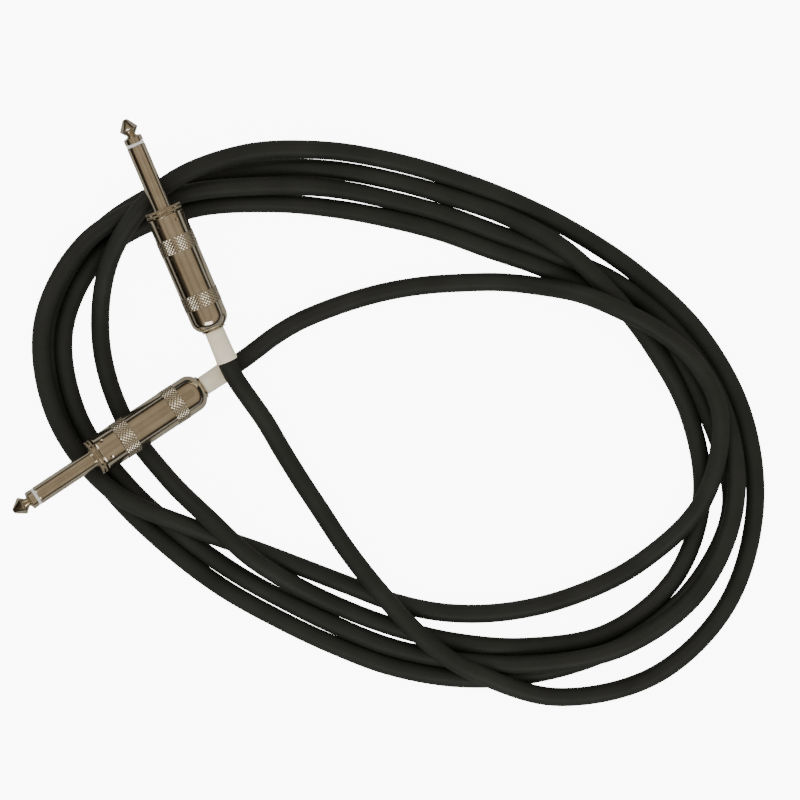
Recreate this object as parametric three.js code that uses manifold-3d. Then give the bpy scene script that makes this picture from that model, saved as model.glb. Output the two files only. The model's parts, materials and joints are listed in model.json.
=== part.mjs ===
// Instrument cable with two screw-together quarter inch phone plugs, lying in a loose coil.
// Millimetres, +Z up, origin on the surface under the middle of the whole object.
import * as THREE from "three";
import { mergeVertices } from "three/addons/utils/BufferGeometryUtils.js";
import Module from "manifold-3d";

const wasm = await Module();
wasm.setup();

// Driving dimensions
const GAP = 0.3; // clearance left between neighbouring pieces
const CABLE_RADIUS = 2.75; // jacket, drawn a little slim so that neighbouring turns stay apart
const COIL_HEIGHT = 5.5;
const CONTACT_RADIUS = 3.175; // quarter inch phone plug
const FINGER_LENGTH = 31.75; // shoulder to the point of the tip
const TIP_COLLAR = 8.4; // from the point back to the rear of the tip's collar
const TIP_NECK = 5.6;
const TIP_WIDEST = 3.5;
const INSULATOR_WIDTH = 1.1;
const ROD_RADIUS = 1.1;
const FLANGE_RADIUS = 6.25;
const FLANGE_DEPTH = 2.2;
const NOSE_RADIUS = 4.9; // threaded nose that the handle screws onto
const NOSE_END = -9.5;
const HANDLE_RADIUS = 6.4;
const HANDLE_BORE = 5.2;
const HANDLE_END = -44;
const HANDLE_WALL = 6; // solid rear end of the handle
const HANDLE_ROUND = 4.6;
const KNURL_RADIUS = 6.6;
const KNURL_BANDS = [[-10.1, -15.4], [-30.3, -35.3]];
const SLEEVE_END = -55.5;
const SLEEVE_RADIUS = 3.4;
const SLEEVE_LIP = 3.7;
const SLEEVE_BORE = 3.05;
const SLEEVE_HOLE = 3.75;
const LINER_RADIUS = 4.9;
const LINER_BORE = 4.4;
const CLAMP_START = -24.5;
const CLAMP_END = -29;
const JACKET_START = -23.5;
const STRAIGHT_END = -60; // the cable stays straight this far behind the shoulder

// Where each plug's shoulder lies, the way that it points and how far its tip is raised
const PLUGS = [
  { name: "plug_a", shoulder: [-76.4, 69.1, 20.8], bearing: 112.6, rise: 8 },
  { name: "plug_b", shoulder: [-99.8, -14.2, 16.5], bearing: 214, rise: 12 },
];

// The cable from plug A over the near side of the coil, after its straight end
const LEAD_A = [
  [-49, 7.2, 11.1], [-43, -1.4, 9.3], [-37.2, -11.4, 7.8], [-31, -21.5, 6.9], [-24.4, -31.5, 6.8],
  [-17.7, -41.7, 7.4], [-10.2, -51.8, 8.7], [0, -64, 9], [8.5, -73, 9], [17.5, -80.5, 9], [27.5, -86, 9],
];

// The cable from plug B round the inside of the coil and over its far right
const LEAD_B = [
  [-47, 21.7, 3.2], [-39.5, 27.3, 3], [-31.3, 32.1, 3], [-18, 37.5, 3], [-4.5, 41.5, 3], [9.5, 44, 3],
  [23, 45, 3], [36.5, 45.2, 3.4], [50, 43.7, 5.2], [63, 41, 10.4], [74, 36.5, 14], [90, 28, 12.6],
  [102, 17.5, 11],
];

// Turns that lie on top of the coil's bottom layer
const LEFT_TURN = [
  [-31, 76.5, 8.8], [-44.5, 76.5, 8.8], [-65, 75.5, 8.8], [-78, 74, 8.8], [-90, 69.5, 8.8],
  [-103, 58.5, 8.8], [-112.5, 44.5, 8.8], [-117.5, 32, 8.8], [-118, 18, 8.8], [-115.5, 6.5, 8.8],
  [-110, -6.5, 8.8], [-101.5, -18.5, 8.8], [-90, -28.5, 8.8], [-75, -35, 8.8],
];
const TOP_TURN = [
  [-11.5, 87.5, 8.8], [-34.5, 89.5, 10.6], [-50.5, 87.5, 12.4], [-63.5, 83.5, 14], [-74.5, 77.5, 14.8],
  [-83.5, 70, 14.8], [-91, 59.5, 12], [-96, 49, 9],
];
const RIGHT_TURN = [
  [88.5, -71.5, 8.8], [100, -62, 8.8], [107, -53.5, 8.8], [113, -40.5, 8.8], [115, -28, 8.8],
  [114.5, -15, 8.8],
];

// Inner and outer edge of the coil's bottom layer, every 15 degrees round the origin from +X
const COIL_EDGES = [
  [96.5, 121.5], [87, 111], [78, 99.5], [70.5, 90.5], [64, 86], [62, 85], [63, 89], [68.5, 96],
  [79, 100], [93, 111], [105.5, 122], [98.5, 124], [87.5, 117], [75.5, 102.5], [66.5, 90], [61, 84],
  [57, 81], [56.5, 83], [58.5, 88], [65, 95], [72.5, 113], [82, 127], [93.5, 131.5], [101, 129.5],
];

function finish(color, roughness, metalness) {
  return () => new THREE.MeshStandardMaterial({ color, roughness, metalness });
}
const nickel = finish(0xb4ab9c, 0.22, 1);
const brass = finish(0xb48a3c, 0.3, 1);
const rubber = finish(0x24251f, 0.75, 0);
const cream = finish(0xded6c6, 0.5, 0);
const whitePlastic = finish(0xe8e4da, 0.45, 0);
const phenolic = finish(0x8a5a34, 0.6, 0);
const clearLiner = finish(0xd8d4c4, 0.4, 0);
const copper = finish(0xb87048, 0.35, 1);
const tinned = finish(0xc4c4c0, 0.35, 1);
const coreInsulation = finish(0xe6e2d8, 0.5, 0);
const solder = finish(0xa8a8a6, 0.3, 1);

function named(name, geometry, material) {
  const mesh = new THREE.Mesh(geometry, material());
  mesh.name = name;
  return mesh;
}

// A solid of revolution about Z from [radius, z] points that run down the outside and back up
function turned(outline, segments) {
  const points = outline.map(([r, z]) => new THREE.Vector2(r, z)).reverse();
  points.push(points[0].clone());
  const geometry = new THREE.LatheGeometry(points, segments);
  geometry.rotateX(Math.PI / 2);
  return geometry;
}

function ring(inner, outer, from, to, segments) {
  return turned([[inner, to], [outer, to], [outer, from], [inner, from]], segments);
}

function arc(centreRadius, centreZ, radius, fromDegrees, toDegrees, steps) {
  return Array.from({ length: steps + 1 }, (_, i) => {
    const angle = THREE.MathUtils.degToRad(fromDegrees + ((toDegrees - fromDegrees) * i) / steps);
    return [centreRadius + radius * Math.cos(angle), centreZ + radius * Math.sin(angle)];
  });
}

function tube(points, radius, sides, steps) {
  const curve = new THREE.CatmullRomCurve3(points.map((p) => new THREE.Vector3(...p)));
  const section = new THREE.Shape();
  for (let i = 0; i <= sides; i += 1) {
    const angle = (2 * Math.PI * i) / sides;
    const place = [radius * Math.cos(angle), radius * Math.sin(angle)];
    if (i === 0) section.moveTo(...place);
    else section.lineTo(...place);
  }
  return new THREE.ExtrudeGeometry(section, { steps, extrudePath: curve, bevelEnabled: false });
}

function toManifold(geometry) {
  const bare = geometry.clone();
  bare.deleteAttribute("normal");
  bare.deleteAttribute("uv");
  const welded = mergeVertices(bare, 1e-4);
  return new wasm.Manifold(
    new wasm.Mesh({
      numProp: 3,
      vertProperties: new Float32Array(welded.attributes.position.array),
      triVerts: new Uint32Array(welded.index.array),
    }),
  );
}

function fromManifold(solid) {
  const mesh = solid.getMesh();
  const geometry = new THREE.BufferGeometry();
  geometry.setAttribute("position", new THREE.BufferAttribute(mesh.vertProperties, 3));
  geometry.setIndex(new THREE.BufferAttribute(mesh.triVerts, 1));
  return geometry;
}

function block(width, depth, height, x, y, z) {
  const geometry = new THREE.BoxGeometry(width, depth, height);
  geometry.translate(x, y, z);
  return geometry;
}

// The contact at the end, with its collar, and the rod that is riveted behind the lugs
function tipContact() {
  const collarEnd = FINGER_LENGTH - TIP_COLLAR;
  const outline = [
    [0, FINGER_LENGTH], [0.7, FINGER_LENGTH - 0.1], [1.3, FINGER_LENGTH - 0.6],
    [CONTACT_RADIUS - 0.3, FINGER_LENGTH - TIP_WIDEST + 0.7],
    [CONTACT_RADIUS, FINGER_LENGTH - TIP_WIDEST],
    [CONTACT_RADIUS - 0.2, FINGER_LENGTH - TIP_WIDEST - 0.5],
    [1.5, FINGER_LENGTH - TIP_NECK + 0.1], [1.5, FINGER_LENGTH - TIP_NECK - 0.1],
    [CONTACT_RADIUS, collarEnd + 1.9], [CONTACT_RADIUS, collarEnd],
    [ROD_RADIUS, collarEnd], [ROD_RADIUS, -12.6], [1.9, -12.6], [1.6, -13.2], [0, -13.2],
  ];
  return turned(outline, 40);
}

// The white ring between the contacts, with the tube that runs back round the rod
function tipInsulator() {
  const front = FINGER_LENGTH - TIP_COLLAR - GAP;
  const back = front - INSULATOR_WIDTH + 2 * GAP;
  return turned([
    [ROD_RADIUS + GAP, front], [CONTACT_RADIUS - 0.1, front], [CONTACT_RADIUS - 0.1, back],
    [1.8, back], [1.8, -10.4], [ROD_RADIUS + GAP, -10.4],
  ], 32);
}

function finger() {
  const front = FINGER_LENGTH - TIP_COLLAR - INSULATOR_WIDTH;
  return turned([
    [2.1, front], [CONTACT_RADIUS - 0.1, front], [CONTACT_RADIUS, front - 0.15],
    [CONTACT_RADIUS, NOSE_END], [2.1, NOSE_END],
  ], 40);
}

// The milled shoulder and its threaded nose
function flange() {
  const bore = CONTACT_RADIUS + GAP;
  const groove = -FLANGE_DEPTH / 2;
  return turned([
    [bore, -0.5], [bore + 0.5, 0], [FLANGE_RADIUS - 0.3, 0], [FLANGE_RADIUS, -0.3],
    [FLANGE_RADIUS, groove + 0.15], [FLANGE_RADIUS - 0.2, groove], [FLANGE_RADIUS, groove - 0.15],
    [FLANGE_RADIUS, 0.2 - FLANGE_DEPTH], [FLANGE_RADIUS - 0.2, -FLANGE_DEPTH],
    [NOSE_RADIUS, -FLANGE_DEPTH], [NOSE_RADIUS, NOSE_END + 0.4], [NOSE_RADIUS - 0.4, NOSE_END],
    [bore, NOSE_END],
  ], 40);
}

// The shell that screws onto the nose: two knurled bands, a rounded end and a hole for the sleeve
function handle() {
  const front = -FLANGE_DEPTH - GAP;
  const bands = KNURL_BANDS.flatMap(([from, to]) => [
    [HANDLE_RADIUS, from], [KNURL_RADIUS, from - 0.2], [KNURL_RADIUS, to + 0.2], [HANDLE_RADIUS, to],
  ]);
  const round = arc(HANDLE_RADIUS - HANDLE_ROUND, HANDLE_END + HANDLE_ROUND, HANDLE_ROUND, 0, -58, 6);
  return turned([
    [HANDLE_BORE, front - 0.3], [HANDLE_BORE + 0.3, front], [HANDLE_RADIUS - 0.2, front],
    [HANDLE_RADIUS, front - 0.2], ...bands, ...round, [SLEEVE_HOLE + 0.2, HANDLE_END],
    [SLEEVE_HOLE, HANDLE_END + 0.2], [SLEEVE_HOLE, HANDLE_END + HANDLE_WALL],
    [HANDLE_BORE, HANDLE_END + HANDLE_WALL],
  ], 40);
}

function liner() {
  return ring(LINER_BORE, LINER_RADIUS, -35.9, -9.9, 32);
}

// The strain relief: a collar caught behind the handle's rear wall and a tube with a rolled lip
function strainSleeve() {
  const wall = HANDLE_END + HANDLE_WALL;
  return turned([
    [SLEEVE_BORE, -36.2], [LINER_RADIUS - 0.1, -36.2], [LINER_RADIUS - 0.1, wall + GAP],
    [SLEEVE_RADIUS, wall + GAP], [SLEEVE_RADIUS, -46], [SLEEVE_LIP - 0.1, SLEEVE_END + 1.6],
    [SLEEVE_LIP, SLEEVE_END + 1], [SLEEVE_LIP, SLEEVE_END + 0.2], [SLEEVE_LIP - 0.2, SLEEVE_END],
    [SLEEVE_BORE, SLEEVE_END],
  ], 32);
}

// A washer with a long arm that ends in a clamp round the jacket
function groundLug() {
  const washer = toManifold(ring(2.1, 4, -10.4, -9.8, 32));
  const arm = toManifold(block(2.4, 0.6, 19.2, 0, -3.6, -19.4));
  const hoop = toManifold(ring(CABLE_RADIUS + GAP, 3.65, CLAMP_END, CLAMP_START, 32));
  const slot = toManifold(block(2.2, 3, 6, 0, 3.5, -26.75));
  return fromManifold(washer.add(arm).add(hoop.subtract(slot)));
}

function fibreWasher() {
  return ring(ROD_RADIUS + GAP, 3, -11.5, -10.7, 28);
}

// A disc under the rivet with a tongue that takes the inner conductor
function tipLug() {
  const disc = toManifold(ring(ROD_RADIUS + GAP, 2.6, -12.3, -11.8, 28));
  const tongue = toManifold(block(2.2, 0.5, 6.6, 0, 2.45, -15.4));
  const eye = toManifold(new THREE.CylinderGeometry(0.5, 0.5, 2, 16));
  return fromManifold(disc.add(tongue).subtract(eye.translate([0, 2.45, -17.4])));
}

function lump(width, depth, height, x, y, z) {
  const geometry = new THREE.SphereGeometry(1, 14, 10);
  geometry.scale(width, depth, height);
  geometry.translate(x, y, z);
  return geometry;
}

function cableEnd() {
  return ring(ROD_RADIUS + GAP, CABLE_RADIUS, STRAIGHT_END, JACKET_START, 24);
}

function innerCore() {
  const geometry = new THREE.CylinderGeometry(ROD_RADIUS, ROD_RADIUS, 39.6, 16);
  geometry.rotateX(Math.PI / 2);
  geometry.translate(0, 0, -40.1);
  return geometry;
}

function conductor() {
  return tube([[0, 0, -20], [0, 0.5, -18.6], [0, 1.1, -17.2], [0, 1.2, -15.6]], 0.4, 8, 6);
}

function pigtail() {
  return tube([[0, -2.1, -23.2], [0, -2.3, -22.2], [0, -2.3, -20.4]], 0.45, 8, 5);
}

function plug({ name, shoulder, bearing, rise }) {
  const group = new THREE.Group();
  const pieces = [
    ["tip", tipContact(), nickel],
    ["tip_insulator", tipInsulator(), whitePlastic],
    ["finger", finger(), nickel],
    ["flange", flange(), nickel],
    ["handle", handle(), nickel],
    ["liner", liner(), clearLiner],
    ["strain_sleeve", strainSleeve(), cream],
    ["ground_lug", groundLug(), tinned],
    ["fibre_washer", fibreWasher(), phenolic],
    ["tip_lug", tipLug(), brass],
    ["tip_solder", lump(0.8, 0.6, 0.7, 0, 1.1, -14.6), solder],
    ["ground_solder", lump(1, 0.65, 0.9, 0, -2.3, -19.2), solder],
    ["conductor", conductor(), copper],
    ["shield_pigtail", pigtail(), tinned],
    ["inner_core", innerCore(), coreInsulation],
    ["cable_end", cableEnd(), rubber],
  ];
  for (const [part, geometry, material] of pieces) {
    group.add(named(`${name}_${part}`, geometry, material));
  }
  group.quaternion.setFromUnitVectors(new THREE.Vector3(0, 0, 1), pointing(bearing, rise));
  group.position.set(...shoulder);
  return group;
}

function pointing(bearing, rise) {
  const turn = THREE.MathUtils.degToRad(bearing);
  const lift = THREE.MathUtils.degToRad(rise);
  return new THREE.Vector3(
    Math.cos(lift) * Math.cos(turn),
    Math.cos(lift) * Math.sin(turn),
    Math.sin(lift),
  );
}

// A point on a plug's axis, so many millimetres ahead of its shoulder
function onAxis({ shoulder, bearing, rise }, ahead) {
  return new THREE.Vector3(...shoulder).addScaledVector(pointing(bearing, rise), ahead).toArray();
}

function lead(plugPlace, route, steps) {
  const start = [onAxis(plugPlace, STRAIGHT_END - GAP), onAxis(plugPlace, STRAIGHT_END - 4)];
  return tube([...start, ...route], CABLE_RADIUS, 10, steps);
}

// The closed outer shape of the coil's bottom layer
function coilLayer() {
  const edge = (side) => {
    const places = COIL_EDGES.map((radii, i) => {
      const angle = (2 * Math.PI * i) / COIL_EDGES.length;
      return new THREE.Vector3(radii[side] * Math.cos(angle), radii[side] * Math.sin(angle), 0);
    });
    const curve = new THREE.CatmullRomCurve3(places, true);
    return curve.getSpacedPoints(COIL_EDGES.length * 3).map((p) => new THREE.Vector2(p.x, p.y));
  };
  const shape = new THREE.Shape(edge(1).slice(0, -1));
  shape.holes.push(new THREE.Path(edge(0).slice(0, -1)));
  return new THREE.ExtrudeGeometry(shape, { depth: COIL_HEIGHT, bevelEnabled: false });
}

const [plugA, plugB] = PLUGS;
const cable = new THREE.Group();
cable.add(
  plug(plugA),
  plug(plugB),
  named("cable_coil", coilLayer(), rubber),
  named("cable_lead_a", lead(plugA, LEAD_A, 12), rubber),
  named("cable_lead_b", lead(plugB, LEAD_B, 18), rubber),
  named("cable_left_turn", tube(LEFT_TURN, CABLE_RADIUS, 10, 16), rubber),
  named("cable_top_turn", tube(TOP_TURN, CABLE_RADIUS, 10, 10), rubber),
  named("cable_right_turn", tube(RIGHT_TURN, CABLE_RADIUS, 10, 6), rubber),
);

export default cable;
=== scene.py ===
import json
import math

import bmesh
import bpy
from mathutils import Matrix, Vector


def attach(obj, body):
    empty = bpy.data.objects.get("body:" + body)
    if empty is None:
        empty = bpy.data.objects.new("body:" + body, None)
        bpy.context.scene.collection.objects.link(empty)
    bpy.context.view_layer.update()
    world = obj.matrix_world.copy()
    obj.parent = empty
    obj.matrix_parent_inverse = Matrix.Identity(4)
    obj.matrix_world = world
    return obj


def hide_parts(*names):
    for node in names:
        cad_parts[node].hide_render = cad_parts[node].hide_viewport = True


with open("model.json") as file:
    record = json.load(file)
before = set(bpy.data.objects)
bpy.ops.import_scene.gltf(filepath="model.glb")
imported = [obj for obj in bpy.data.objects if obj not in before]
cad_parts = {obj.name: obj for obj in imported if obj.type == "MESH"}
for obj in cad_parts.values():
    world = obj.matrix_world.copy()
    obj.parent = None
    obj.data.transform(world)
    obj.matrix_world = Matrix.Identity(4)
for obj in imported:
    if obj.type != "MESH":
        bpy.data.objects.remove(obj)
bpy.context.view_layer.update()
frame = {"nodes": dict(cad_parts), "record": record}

mm = 0.001
cableRadius = 3.15 * mm

# Each plug's shoulder, the way its tip points and how far the tip is raised, as in the CAD
plugs = {
    "plug_a": {"shoulder": (-76.4, 69.1, 20.8), "bearing": 112.6, "rise": 8},
    "plug_b": {"shoulder": (-99.8, -14.2, 16.5), "bearing": 214, "rise": 12},
}

camera = {"x": 2.5 * mm, "y": 5.4 * mm, "height": 975 * mm, "lens": 129.4}


def makeCamera(settings):
    data = bpy.data.cameras.new("camera")
    data.lens = settings["lens"]
    data.sensor_width = 36
    obj = bpy.data.objects.new("camera", data)
    obj.location = (settings["x"], settings["y"], settings["height"])
    bpy.context.scene.collection.objects.link(obj)
    bpy.context.scene.camera = obj


makeCamera(camera)

# From plug A over the near side of the coil, in millimetres
leadA = [
    (-49, 7.2, 11.1), (-43, -1.4, 9.3), (-37.2, -11.4, 7.8), (-31, -21.5, 6.9),
    (-24.4, -31.5, 6.8), (-17.7, -41.7, 7.4), (-10.2, -51.8, 8.7), (0, -64, 9),
    (8.5, -73, 9), (17.5, -80.5, 9), (27.5, -86, 9),
]

# From plug B round the inside of the coil and over its far right
leadB = [
    (-47, 21.7, 3.2), (-39.5, 27.3, 3), (-31.3, 32.1, 3), (-18, 37.5, 3), (-4.5, 41.5, 3), (9.5, 44, 3),
    (23, 45, 3), (36.5, 45.2, 3.4), (50, 43.7, 5.2), (63, 41, 10.4), (74, 36.5, 14), (90, 28, 12.6),
    (102, 17.5, 11),
]

# The loose turns: distance from the origin and height of the cable's middle, every 15 degrees
# from a bearing of 300 degrees, one row for each 90 degrees
coilStart = 300
coilStep = 15
coilPlaces = [
    (109.3, 6), (124.4, 3), (129.7, 3), (126.6, 3), (118.6, 3), (107.3, 3),
    (95.7, 3), (87.6, 3), (83.4, 3), (82.8, 3.2), (86, 4.2), (92.7, 6.8),
    (101.5, 10.4), (108.2, 15), (108.6, 10.6), (102.1, 3.6), (91.3, 3), (79, 4.6),
    (70.2, 11), (67.2, 10.2), (65.8, 5.6), (67, 3.2), (71.2, 3), (78.9, 3),
    (90.1, 3), (103.3, 3), (109.9, 3), (108.2, 3), (100.3, 3.2), (90.6, 7.4),
    (84, 9.1), (80.4, 8.2), (77.6, 4.6), (76.6, 3.2), (79.5, 3), (86.3, 3),
    (96, 3), (108.4, 3), (118.2, 3), (120.4, 3), (112.4, 3), (98.2, 3),
    (87.8, 3), (81.7, 3), (78.7, 3), (79.8, 3), (84.8, 3), (91.8, 3),
    (100.1, 3), (109.2, 3), (116.8, 3), (118.4, 3), (106.8, 3), (95, 3),
    (81.6, 3), (71.1, 3), (65.1, 3), (64.3, 3), (66.4, 3), (72.4, 3),
    (83, 3), (98.3, 3), (112.2, 3), (114.8, 3), (106.2, 3), (92.4, 3),
    (81.4, 3), (75.1, 3), (72.2, 3), (73.4, 3), (78.3, 3), (85.5, 3.2),
    (96.5, 7.6), (109.6, 8.9), (118.4, 8.7), (119, 8.9), (112.3, 6.2), (101.3, 3),
    (88.8, 3), (77.2, 3), (71.1, 3), (70.3, 3), (72.8, 3.6), (79.4, 5.6),
    (89.3, 8), (104.2, 8.9), (118.3, 8.9), (121.6, 8.9), (113.3, 8.7), (97.4, 8.7),
    (76.2, 7.4), (64.4, 3.2), (59.5, 3), (59.1, 3), (62.8, 3), (68.8, 3),
    (76.4, 3), (86, 3), (97.7, 3), (108.2, 8.9), (109.8, 11.4),
]


def plugAxis(settings):
    turn = math.radians(settings["bearing"])
    lift = math.radians(settings["rise"])
    return Vector((math.cos(lift) * math.cos(turn), math.cos(lift) * math.sin(turn), math.sin(lift)))


def onAxis(settings, ahead):
    return Vector(settings["shoulder"]) + plugAxis(settings) * ahead


def coilPoint(index):
    distance, height = coilPlaces[index]
    angle = math.radians(coilStart + coilStep * index)
    return Vector((distance * math.cos(angle), distance * math.sin(angle), height))


def knotStep(a, b):
    shortest = 1e-6
    return max((b - a).length, shortest) ** 0.5


def smoothRoute(points, spacing):
    # A centripetal Catmull-Rom curve through the points
    ends = [points[0] * 2 - points[1]] + points + [points[-1] * 2 - points[-2]]
    route = []
    for i in range(len(points) - 1):
        p0, p1, p2, p3 = ends[i : i + 4]
        t1 = knotStep(p0, p1)
        t2 = t1 + knotStep(p1, p2)
        t3 = t2 + knotStep(p2, p3)
        steps = max(2, round((p2 - p1).length / spacing))
        for k in range(steps):
            t = t1 + (t2 - t1) * k / steps
            a1 = p0 * ((t1 - t) / t1) + p1 * (t / t1)
            a2 = p1 * ((t2 - t) / (t2 - t1)) + p2 * ((t - t1) / (t2 - t1))
            a3 = p2 * ((t3 - t) / (t3 - t2)) + p3 * ((t - t2) / (t3 - t2))
            b1 = a1 * ((t2 - t) / t2) + a2 * (t / t2)
            b2 = a2 * ((t3 - t) / (t3 - t1)) + a3 * ((t - t1) / (t3 - t1))
            route.append(b1 * ((t2 - t) / (t2 - t1)) + b2 * ((t - t1) / (t2 - t1)))
    return route + [points[-1]]


def cableRoute(settings):
    straight = settings["straight"]
    points = [onAxis(plugs["plug_a"], s) for s in straight]
    points += [Vector(p) for p in leadA]
    points += [coilPoint(i) for i in range(len(coilPlaces))]
    points += [Vector(p) for p in reversed(leadB)]
    points += [onAxis(plugs["plug_b"], s) for s in reversed(straight)]
    route = smoothRoute([p * mm for p in points], settings["spacing"] * mm)
    for p in route:
        p.z = max(p.z, cableRadius)  # it lies on the floor and never in it
    return route


def routeLength(route):
    return sum((b - a).length for a, b in zip(route, route[1:]))


# straight: places behind each shoulder where the cable still runs along the plug's axis
cable = {"straight": [-24, -42, -60], "spacing": 2.5, "exit": -44, "length": 2.97, "sides": 8}


def makeCable(settings):
    route = cableRoute(settings)
    data = bpy.data.curves.new("cable_jacket", "CURVE")
    data.dimensions = "3D"
    data.bevel_depth = 1  # times each point's radius
    data.bevel_resolution = settings["sides"]
    data.use_fill_caps = True
    spline = data.splines.new("POLY")
    spline.points.add(len(route) - 1)
    for point, place in zip(spline.points, route):
        point.co = (*place, 1)
        point.radius = cableRadius
    spline.use_smooth = True
    obj = bpy.data.objects.new("cable_jacket", data)
    bpy.context.scene.collection.objects.link(obj)
    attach(obj, "cable")
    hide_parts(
        "cable_coil", "cable_lead_a", "cable_lead_b", "cable_left_turn", "cable_top_turn",
        "cable_right_turn", "plug_a_cable_end", "plug_b_cable_end",
    )
    print("cable", round(routeLength(route), 3), "m")
    return obj


cableJacket = makeCable(cable)


sharpAngle = math.radians(32)
mergeReach = 0.0005  # millimetres, at the poles
uvPerMm = 0.02


def triangleWave(x):
    x = x % 1
    return 1 - abs(2 * x - 1)


def turnedPiece(name, plug, rows, segments, shape=None):
    # rows are (radius, place along the axis) in millimetres; an outline that starts on the axis
    # also ends there, and any other closes on itself
    bm = bmesh.new()
    uvLayer = bm.loops.layers.uv.new("UVMap")
    corners = [bm.verts.new((radius, 0, along)) for radius, along in rows]
    pairs = list(zip(corners, corners[1:]))
    if rows[0][0] > 0:
        pairs.append((corners[-1], corners[0]))
    edges = [bm.edges.new(pair) for pair in pairs]
    bmesh.ops.spin(
        bm, geom=corners + edges, cent=(0, 0, 0), axis=(0, 0, 1), angle=2 * math.pi,
        steps=segments, use_merge=True,
    )
    bmesh.ops.remove_doubles(bm, verts=bm.verts, dist=mergeReach)
    for face in bm.faces:
        face.smooth = True
        middle = face.calc_center_median()
        facing = math.atan2(middle.y, middle.x)
        for loop in face.loops:
            place = loop.vert.co
            angle = math.atan2(place.y, place.x)
            angle += 2 * math.pi * round((facing - angle) / (2 * math.pi))
            loop[uvLayer].uv = (angle / (2 * math.pi), (place.z - place.xy.length) * uvPerMm)
    if shape:
        for vert in bm.verts:
            radius = vert.co.xy.length
            if radius > 0:
                moved = shape(radius, vert.co.z, math.atan2(vert.co.y, vert.co.x))
                vert.co.xy *= 1 + moved / radius
    turn = plugAxis(plug).to_track_quat("Z", "Y").to_matrix().to_4x4()
    placed = Matrix.Scale(mm, 4) @ Matrix.Translation(Vector(plug["shoulder"])) @ turn
    bmesh.ops.transform(bm, matrix=placed, verts=bm.verts)
    bmesh.ops.recalc_face_normals(bm, faces=bm.faces)
    for edge in bm.edges:
        if len(edge.link_faces) == 2 and edge.calc_face_angle() > sharpAngle:
            edge.smooth = False
    mesh = bpy.data.meshes.new(name)
    bm.to_mesh(mesh)
    bm.free()
    obj = bpy.data.objects.new(name, mesh)
    bpy.context.scene.collection.objects.link(obj)
    return obj


def arcRows(centreRadius, centreAlong, radius, start, end, steps):
    rows = []
    for i in range(steps + 1):
        angle = math.radians(start + (end - start) * i / steps)
        rows.append((centreRadius + radius * math.cos(angle), centreAlong + radius * math.sin(angle)))
    return rows


def spread(start, end, radius, steps):
    return [(radius, start + (end - start) * i / steps) for i in range(steps + 1)]


# The tip contact: point, cone, neck and collar
tip = {
    "length": 31.75, "radius": 3.175, "widest": 3.5, "neck": 5.6, "neckRadius": 1.5,
    "collar": 8.4, "rod": 1.1, "tail": -12.6, "rivet": 1.9, "segments": 96,
}


def makeTip(name, plug, s):
    end, r = s["length"], s["radius"]
    collar = end - s["collar"]
    rows = [(0, end), (0.45, end - 0.03), (0.8, end - 0.18), (1.05, end - 0.42)]
    rows += [(r - 0.35, end - s["widest"] + 0.55), (r - 0.12, end - s["widest"] + 0.22)]
    rows += [(r, end - s["widest"]), (r - 0.08, end - s["widest"] - 0.25)]
    rows += [(r - 0.4, end - s["widest"] - 0.6), (s["neckRadius"] + 0.25, end - s["neck"] + 0.35)]
    rows += [(s["neckRadius"], end - s["neck"] + 0.05), (s["neckRadius"], end - s["neck"] - 0.15)]
    rows += [(s["neckRadius"] + 0.3, end - s["neck"] - 0.45), (r - 0.35, collar + 2.05)]
    rows += [(r - 0.1, collar + 1.9), (r, collar + 1.75), (r, collar + 0.12), (r - 0.12, collar)]
    rows += [(s["rod"], collar), (s["rod"], s["tail"]), (s["rivet"], s["tail"])]
    rows += [(s["rivet"] - 0.3, s["tail"] - 0.6), (0, s["tail"] - 0.6)]
    return turnedPiece(name, plug, rows, s["segments"])


insulator = {
    "front": 23.15, "back": 22.45, "radius": 3.08, "bore": 1.4, "tube": 1.8, "end": -10.4,
    "segments": 64,
}


def makeInsulator(name, plug, s):
    rows = [(s["bore"], s["front"] + 0.1), (s["radius"] - 0.1, s["front"] + 0.1)]
    rows += [(s["radius"], s["front"]), (s["radius"], s["back"] - 0.05)]
    rows += [(s["radius"] - 0.1, s["back"] - 0.15), (s["tube"], s["back"] - 0.15)]
    rows += [(s["tube"], s["end"]), (s["bore"], s["end"])]
    return turnedPiece(name, plug, rows, s["segments"])


finger = {"front": 22.25, "radius": 3.175, "bore": 2.1, "end": -9.5, "segments": 96}


def makeFinger(name, plug, s):
    rows = [(s["bore"], s["front"]), (s["radius"] - 0.2, s["front"])]
    rows += [(s["radius"] - 0.05, s["front"] - 0.08)]
    rows += [(s["radius"], s["front"] - 0.25)] + spread(s["front"] - 0.5, 0.8, s["radius"], 12)
    rows += [(s["radius"], s["end"]), (s["bore"], s["end"])]
    return turnedPiece(name, plug, rows, s["segments"])


# The shoulder: two thin milled discs with a groove between them, and the nose behind
flange = {
    "radius": 6.25, "bore": 3.475, "disc": 0.85, "groove": 0.35, "grooveRadius": 5.75,
    "nose": 4.9, "end": -9.5, "notches": 58, "notchDepth": 0.16, "milledTo": -2.25,
    "segments": 464,
}


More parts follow.
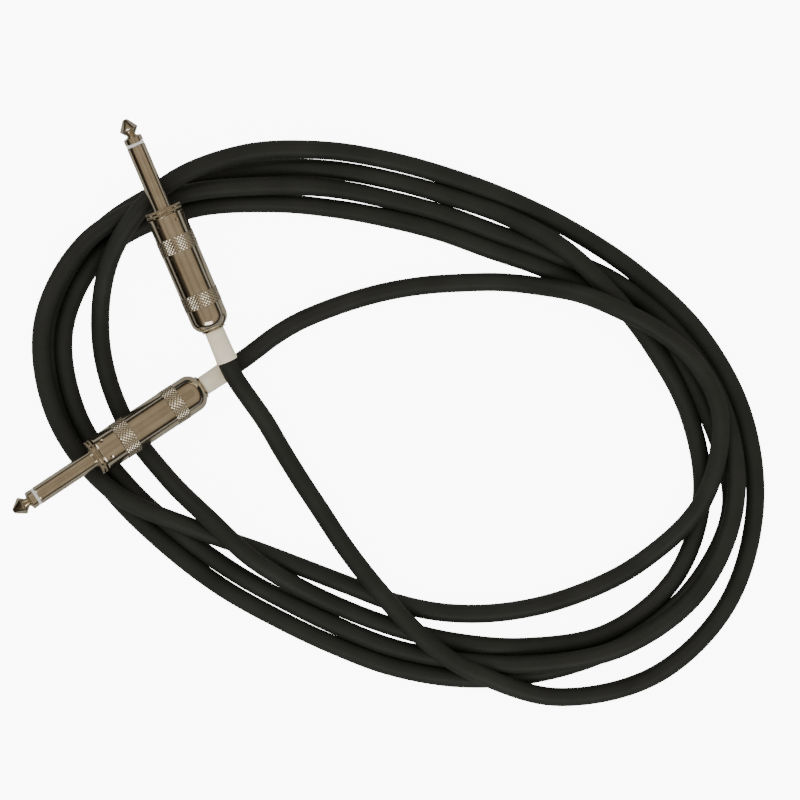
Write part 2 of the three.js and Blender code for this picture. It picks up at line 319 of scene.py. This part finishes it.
def makeFlange(name, plug, s):
    r, disc = s["radius"], s["disc"]
    second = -disc - s["groove"]

    # How far the notches cut into the two rims
    def milled(radius, along, angle):
        if radius < s["grooveRadius"] + 0.1 or along < s["milledTo"]:
            return 0
        tooth = triangleWave(s["notches"] * angle / (2 * math.pi))
        return -s["notchDepth"] * (1 - tooth) ** 1.5

    rows = [(s["bore"], -0.6), (s["bore"] + 0.1, -0.25), (s["bore"] + 0.45, -0.02), (r - 0.9, 0)]
    rows += [(r - 0.35, -0.02), (r - 0.12, -0.08), (r, -0.2), (r, 0.2 - disc), (r - 0.12, 0.08 - disc)]
    rows += [(s["grooveRadius"], -disc), (s["grooveRadius"], second), (r - 0.12, second - 0.08)]
    rows += [(r, second - 0.2), (r, second - disc + 0.2), (r - 0.15, second - disc + 0.06)]
    rows += [(r - 0.4, second - disc), (s["nose"], second - disc - 0.02)]
    rows += [(s["nose"], s["end"] + 0.4), (s["nose"] - 0.4, s["end"]), (s["bore"], s["end"])]
    return turnedPiece(name, plug, rows, s["segments"], milled)


# The screw-on handle
handle = {
    "front": -2.5, "end": -44, "radius": 6.4, "bore": 5.2, "round": 4.6, "hole": 3.75, "wall": 6,
    "bands": [(-10.1, -15.4), (-30.3, -35.3)], "knurlRadius": 6.58, "knurlDepth": 0.22,
    "knurlStarts": 36, "knurlPitch": 1.14, "bandRows": 44, "segments": 360,
    "bandEdge": 0.12, "dents": 6, "dentAt": -5.0, "dentRadius": 0.55, "dentDepth": 0.1,
    "dentReach": 1.6, "rimHeight": 0.15, "rimAt": 1.25,
}


def makeHandle(name, plug, s):
    bands = s["bands"]

    # How far the knurl and the stake dents move the surface
    def worked(radius, along, angle):
        if radius < s["radius"] - 0.01:
            return 0
        for start, end in bands:
            if end + s["bandEdge"] < along < start - s["bandEdge"]:
                turn = s["knurlStarts"] * angle / (2 * math.pi)
                rise = along / s["knurlPitch"]
                height = min(triangleWave(turn + rise), triangleWave(turn - rise))
                return -s["knurlDepth"] * (1 - height)
        if abs(along - s["dentAt"]) < s["dentReach"]:
            sector = 2 * math.pi / s["dents"]
            aside = ((angle + sector / 2) % sector - sector / 2) * s["radius"]
            reach = math.hypot(aside, along - s["dentAt"]) / s["dentRadius"]
            rim = s["rimHeight"] * math.exp(-((reach - s["rimAt"]) ** 2) * 9)
            return s["dentDepth"] * (rim - math.exp(-(reach ** 2) * 1.2))
        return 0

    r = s["radius"]
    rows = [(s["bore"] + 0.3, s["front"]), (r - 0.3, s["front"]), (r - 0.09, s["front"] - 0.07)]
    rows += [(r, s["front"] - 0.3), (r, -3.1)] + spread(-3.4, -6.6, r, 26)
    rows += spread(-7.2, bands[0][0] + 0.1, r, 3)
    for i, (start, end) in enumerate(bands):
        rows += [(r, start + 0.02), (s["knurlRadius"] - 0.06, start - 0.08)]
        rows += spread(start - 0.14, end + 0.14, s["knurlRadius"], s["bandRows"])
        rows += [(s["knurlRadius"] - 0.06, end + 0.08), (r, end - 0.02)]
        if i == 0:
            rows += spread(end - 0.5, bands[1][0] + 0.5, r, 6)
    rows += [(r, bands[1][1] - 0.6)]
    rows += arcRows(r - s["round"], s["end"] + s["round"], s["round"], 0, -60, 14)
    rows += [(s["hole"] + 0.35, s["end"] + 0.03), (s["hole"] + 0.08, s["end"] + 0.12)]
    rows += [(s["hole"], s["end"] + 0.35), (s["hole"], s["end"] + s["wall"])]
    rows += [(s["bore"], s["end"] + s["wall"]), (s["bore"], s["front"] - 0.3)]
    return turnedPiece(name, plug, rows, s["segments"], worked)


# The cream strain relief, with its collar inside the handle and a rolled lip at the cable's end
sleeve = {
    "collar": 4.8, "collarFront": -36.2, "collarBack": -37.7, "bore": 3.05, "front": 3.36,
    "back": 3.55, "lip": 3.66, "end": -55.5, "segments": 96,
}


def makeSleeve(name, plug, s):
    rows = [(s["bore"], s["collarFront"]), (s["collar"], s["collarFront"])]
    rows += [(s["collar"], s["collarBack"]), (s["front"], s["collarBack"])]
    steps = 10
    for i in range(steps + 1):
        share = i / steps
        rows.append((s["front"] + (s["back"] - s["front"]) * share ** 1.6, -44.2 - 9.6 * share))
    rows += [(s["lip"] - 0.03, -54.4), (s["lip"], -54.8), (s["lip"], -55.15), (s["lip"] - 0.06, -55.38)]
    rows += [(s["lip"] - 0.2, s["end"]), (s["bore"] + 0.12, s["end"]), (s["bore"], s["end"] + 0.12)]
    return turnedPiece(name, plug, rows, s["segments"])


makers = {
    "tip": (makeTip, tip, "cable", "nickel"),
    "tip_insulator": (makeInsulator, insulator, "cable", "insulator_plastic"),
    "finger": (makeFinger, finger, "cable", "nickel"),
    "flange": (makeFlange, flange, "cable", "nickel"),
    "handle": (makeHandle, handle, "shell", "nickel"),
    "strain_sleeve": (makeSleeve, sleeve, "rear", "sleeve_plastic"),
}

made = []
for plugName, plug in plugs.items():
    for part, (maker, settings, body, slotName) in makers.items():
        obj = maker(f"{plugName}_{part}_detail", plug, settings)
        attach(obj, "cable" if body == "cable" else f"{plugName}_{body}")
        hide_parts(f"{plugName}_{part}")
        made.append((obj, slotName))
    print(plugName, "made")


def newMaterial(name):
    material = bpy.data.materials.new(name)
    material.use_nodes = True
    nodes = material.node_tree.nodes
    return material, nodes, material.node_tree.links, nodes["Principled BSDF"]


def noise(nodes, links, source, scale, detail=3, roughness=0.5):
    node = nodes.new("ShaderNodeTexNoise")
    node.inputs["Scale"].default_value = scale
    node.inputs["Detail"].default_value = detail
    node.inputs["Roughness"].default_value = roughness
    links.new(source, node.inputs["Vector"])
    return node


def ramp(nodes, links, source, stops):
    node = nodes.new("ShaderNodeValToRGB")
    first, last = node.color_ramp.elements
    first.position, first.color = stops[0][0], (*stops[0][1], 1)
    last.position, last.color = stops[-1][0], (*stops[-1][1], 1)
    for place, colour in stops[1:-1]:
        node.color_ramp.elements.new(place).color = (*colour, 1)
    links.new(source, node.inputs["Fac"])
    return node


def rangeOf(nodes, links, source, low, high):
    node = nodes.new("ShaderNodeMapRange")
    node.inputs["To Min"].default_value = low
    node.inputs["To Max"].default_value = high
    links.new(source, node.inputs["Value"])
    return node


def bump(nodes, links, height, strength, distance, normal=None):
    node = nodes.new("ShaderNodeBump")
    node.inputs["Strength"].default_value = strength
    node.inputs["Distance"].default_value = distance
    links.new(height, node.inputs["Height"])
    if normal:
        links.new(normal, node.inputs["Normal"])
    return node


def coords(nodes):
    return nodes.new("ShaderNodeTexCoord")


def jacketMaterial():
    material, nodes, links, shader = newMaterial("jacket")
    place = coords(nodes).outputs["Object"]
    broad = noise(nodes, links, place, 60, 4)
    dark, light = (0.014, 0.0145, 0.0115), (0.021, 0.0215, 0.0175)
    tone = ramp(nodes, links, broad.outputs["Fac"], [(0.3, dark), (0.7, light)])
    links.new(tone.outputs["Color"], shader.inputs["Base Color"])
    shader.inputs["Specular IOR Level"].default_value = 0.15
    fine = noise(nodes, links, place, 900, 6, 0.65)
    rough = rangeOf(nodes, links, fine.outputs["Fac"], 0.42, 0.60)
    links.new(rough.outputs["Result"], shader.inputs["Roughness"])
    grain = noise(nodes, links, place, 2600, 3, 0.6)
    skin = bump(nodes, links, grain.outputs["Fac"], 0.25, 0.00004)
    waver = bump(nodes, links, broad.outputs["Fac"], 0.15, 0.0003, skin.outputs["Normal"])
    links.new(waver.outputs["Normal"], shader.inputs["Normal"])
    return material


def nickelMaterial():
    material, nodes, links, shader = newMaterial("nickel")
    source = coords(nodes)
    place = source.outputs["Object"]
    cloud = noise(nodes, links, place, 220, 4)
    dark, light = (0.62, 0.56, 0.44), (0.72, 0.66, 0.54)
    tone = ramp(nodes, links, cloud.outputs["Fac"], [(0.35, dark), (0.65, light)])
    links.new(tone.outputs["Color"], shader.inputs["Base Color"])
    shader.inputs["Metallic"].default_value = 1
    smudge = noise(nodes, links, place, 420, 5, 0.6)
    rough = rangeOf(nodes, links, smudge.outputs["Fac"], 0.08, 0.20)
    links.new(rough.outputs["Result"], shader.inputs["Roughness"])
    stretch = nodes.new("ShaderNodeMapping")
    stretch.inputs["Scale"].default_value = (3, 900, 1)
    links.new(source.outputs["UV"], stretch.inputs["Vector"])
    lines = noise(nodes, links, stretch.outputs["Vector"], 1, 2)
    turned = bump(nodes, links, lines.outputs["Fac"], 0.06, 0.00002)
    pits = noise(nodes, links, place, 1500, 2)
    worn = bump(nodes, links, pits.outputs["Fac"], 0.05, 0.00003, turned.outputs["Normal"])
    links.new(worn.outputs["Normal"], shader.inputs["Normal"])
    return material


def plasticMaterial(name, dark, light, low, high, scatter=0.0):
    material, nodes, links, shader = newMaterial(name)
    place = coords(nodes).outputs["Object"]
    cloud = noise(nodes, links, place, 180, 4)
    tone = ramp(nodes, links, cloud.outputs["Fac"], [(0.3, dark), (0.7, light)])
    links.new(tone.outputs["Color"], shader.inputs["Base Color"])
    fine = noise(nodes, links, place, 1200, 4)
    rough = rangeOf(nodes, links, fine.outputs["Fac"], low, high)
    links.new(rough.outputs["Result"], shader.inputs["Roughness"])
    skin = bump(nodes, links, fine.outputs["Fac"], 0.12, 0.00003)
    links.new(skin.outputs["Normal"], shader.inputs["Normal"])
    if scatter:
        shader.inputs["Subsurface Weight"].default_value = scatter
        shader.inputs["Subsurface Radius"].default_value = (1, 0.8, 0.6)
        shader.inputs["Subsurface Scale"].default_value = 0.0006
    return material


def metalMaterial(name, dark, light, low, high):
    material = plasticMaterial(name, dark, light, low, high)
    material.node_tree.nodes["Principled BSDF"].inputs["Metallic"].default_value = 1
    return material


materials = {
    "jacket": jacketMaterial(),
    "nickel": nickelMaterial(),
    "sleeve_plastic": plasticMaterial(
        "sleeve_plastic", (0.76, 0.66, 0.47), (0.84, 0.75, 0.57), 0.35, 0.5, 0.3
    ),
    "insulator_plastic": plasticMaterial(
        "insulator_plastic", (0.60, 0.58, 0.53), (0.68, 0.66, 0.61), 0.25, 0.4, 0.2
    ),
    "phenolic": plasticMaterial("phenolic", (0.14, 0.06, 0.025), (0.22, 0.10, 0.045), 0.5, 0.7),
    "liner_plastic": plasticMaterial(
        "liner_plastic", (0.55, 0.52, 0.44), (0.64, 0.61, 0.54), 0.3, 0.45, 0.3
    ),
    "core_plastic": plasticMaterial(
        "core_plastic", (0.68, 0.66, 0.60), (0.76, 0.74, 0.70), 0.35, 0.5, 0.2
    ),
    "brass": metalMaterial("brass", (0.50, 0.34, 0.10), (0.62, 0.44, 0.16), 0.22, 0.38),
    "copper": metalMaterial("copper", (0.55, 0.24, 0.12), (0.68, 0.32, 0.18), 0.25, 0.4),
    "tinned": metalMaterial("tinned", (0.52, 0.52, 0.49), (0.66, 0.66, 0.63), 0.22, 0.4),
    "solder": metalMaterial("solder", (0.44, 0.44, 0.43), (0.56, 0.56, 0.55), 0.18, 0.35),
}


def dress(obj, material):
    obj.data.materials.clear()
    obj.data.materials.append(material)


dress(cableJacket, materials["jacket"])
for obj, slotName in made:
    dress(obj, materials[slotName])
slots = {row["node"]: row["material_slot"] for row in frame["record"]["subparts"]}
for nodeName, node in frame["nodes"].items():
    if nodeName in slots and node.type == "MESH":
        for place in node.material_slots:
            place.link = "OBJECT"
            place.material = materials[slots[nodeName]]
print("materials on")


def makeFloor():
    mesh = bpy.data.meshes.new("floor")
    bm = bmesh.new()
    bmesh.ops.create_grid(bm, x_segments=1, y_segments=1, size=3)
    bm.to_mesh(mesh)
    bm.free()
    obj = bpy.data.objects.new("floor", mesh)
    bpy.context.scene.collection.objects.link(obj)
    material, nodes, links, shader = newMaterial("floor")
    place = coords(nodes).outputs["Object"]
    cloud = noise(nodes, links, place, 4)
    tone = ramp(nodes, links, cloud.outputs["Fac"], [(0.3, (0.88, 0.88, 0.88)), (0.7, (0.9, 0.9, 0.9))])
    links.new(tone.outputs["Color"], shader.inputs["Base Color"])
    shader.inputs["Roughness"].default_value = 0.9
    shader.inputs["Specular IOR Level"].default_value = 0
    # The camera sees a glow like a light table's, which keeps the shadows faint
    path = nodes.new("ShaderNodeLightPath")
    glow = rangeOf(nodes, links, path.outputs["Is Camera Ray"], 0.2, 9)
    shader.inputs["Emission Color"].default_value = (1, 1, 1, 1)
    links.new(glow.outputs["Result"], shader.inputs["Emission Strength"])
    # Glossy rays see the floor as a darker tan emission, a painted reflection in the metal
    paintedReflection = nodes.new("ShaderNodeEmission")
    paintedReflection.inputs["Color"].default_value = (0.40, 0.38, 0.34, 1)
    mix = nodes.new("ShaderNodeMixShader")
    links.new(path.outputs["Is Glossy Ray"], mix.inputs["Fac"])
    links.new(shader.outputs["BSDF"], mix.inputs[1])
    links.new(paintedReflection.outputs["Emission"], mix.inputs[2])
    links.new(mix.outputs["Shader"], nodes["Material Output"].inputs["Surface"])
    dress(obj, material)


def areaLight(name, place, target, size, power, colour=(1, 1, 1)):
    data = bpy.data.lights.new(name, "AREA")
    data.shape = "RECTANGLE"
    data.size, data.size_y = size
    data.energy = power
    data.color = colour
    obj = bpy.data.objects.new(name, data)
    obj.location = place
    obj.rotation_euler = (Vector(target) - Vector(place)).to_track_quat("-Z", "Y").to_euler()
    bpy.context.scene.collection.objects.link(obj)


def makeWorld():
    world = bpy.data.worlds.new("world")
    bpy.context.scene.world = world
    world.use_nodes = True
    nodes, links = world.node_tree.nodes, world.node_tree.links
    nodes.clear()
    source = nodes.new("ShaderNodeTexCoord")
    split = nodes.new("ShaderNodeSeparateXYZ")
    links.new(source.outputs["Generated"], split.inputs["Vector"])
    # Glossy rays alone see this painted reflection of dark and tan surroundings; all other rays see
    # plain white
    mirrored = ramp(nodes, links, split.outputs["Z"], [
        (0.0, (0.75, 0.74, 0.72)), (0.10, (0.02, 0.016, 0.012)), (0.32, (0.03, 0.022, 0.015)),
        (0.42, (0.34, 0.28, 0.20)), (0.80, (0.42, 0.35, 0.26)), (0.90, (0.30, 0.24, 0.17)),
        (1.0, (0.46, 0.39, 0.30)),
    ])
    # Reflections are painted darker on the left, as from a dark screen that is not there and shades
    # nothing
    leftward = nodes.new("ShaderNodeVectorMath")
    leftward.operation = "DOT_PRODUCT"
    leftward.inputs[1].default_value = (-0.92, -0.38, 0)
    links.new(source.outputs["Generated"], leftward.inputs[0])
    paintedLeftShade = ramp(nodes, links, leftward.outputs["Value"], [
        (0.0, (1, 1, 1)), (0.62, (1, 1, 1)), (0.78, (0.14, 0.12, 0.10)), (1.0, (0.10, 0.08, 0.06)),
    ])
    paintedSurroundings = nodes.new("ShaderNodeVectorMath")
    paintedSurroundings.operation = "MULTIPLY"
    links.new(mirrored.outputs["Color"], paintedSurroundings.inputs[0])
    links.new(paintedLeftShade.outputs["Color"], paintedSurroundings.inputs[1])
    seen = nodes.new("ShaderNodeBackground")
    links.new(paintedSurroundings.outputs["Vector"], seen.inputs["Color"])
    plain = nodes.new("ShaderNodeBackground")
    plain.inputs["Color"].default_value = (1, 1, 1, 1)
    plain.inputs["Strength"].default_value = 1.1
    path = nodes.new("ShaderNodeLightPath")
    mix = nodes.new("ShaderNodeMixShader")
    links.new(path.outputs["Is Glossy Ray"], mix.inputs["Fac"])
    links.new(plain.outputs["Background"], mix.inputs[1])
    links.new(seen.outputs["Background"], mix.inputs[2])
    output = nodes.new("ShaderNodeOutputWorld")
    links.new(mix.outputs["Shader"], output.inputs["Surface"])


makeFloor()
makeWorld()
areaLight("near_softbox", (0.1, -0.9, 0.8), (0, 0, 0), (0.9, 0.5), 5)
areaLight("far_softbox", (-0.7, 0.6, 0.9), (0, 0, 0), (0.6, 0.6), 2)
print("stage set")

bpy.context.view_layer.update()
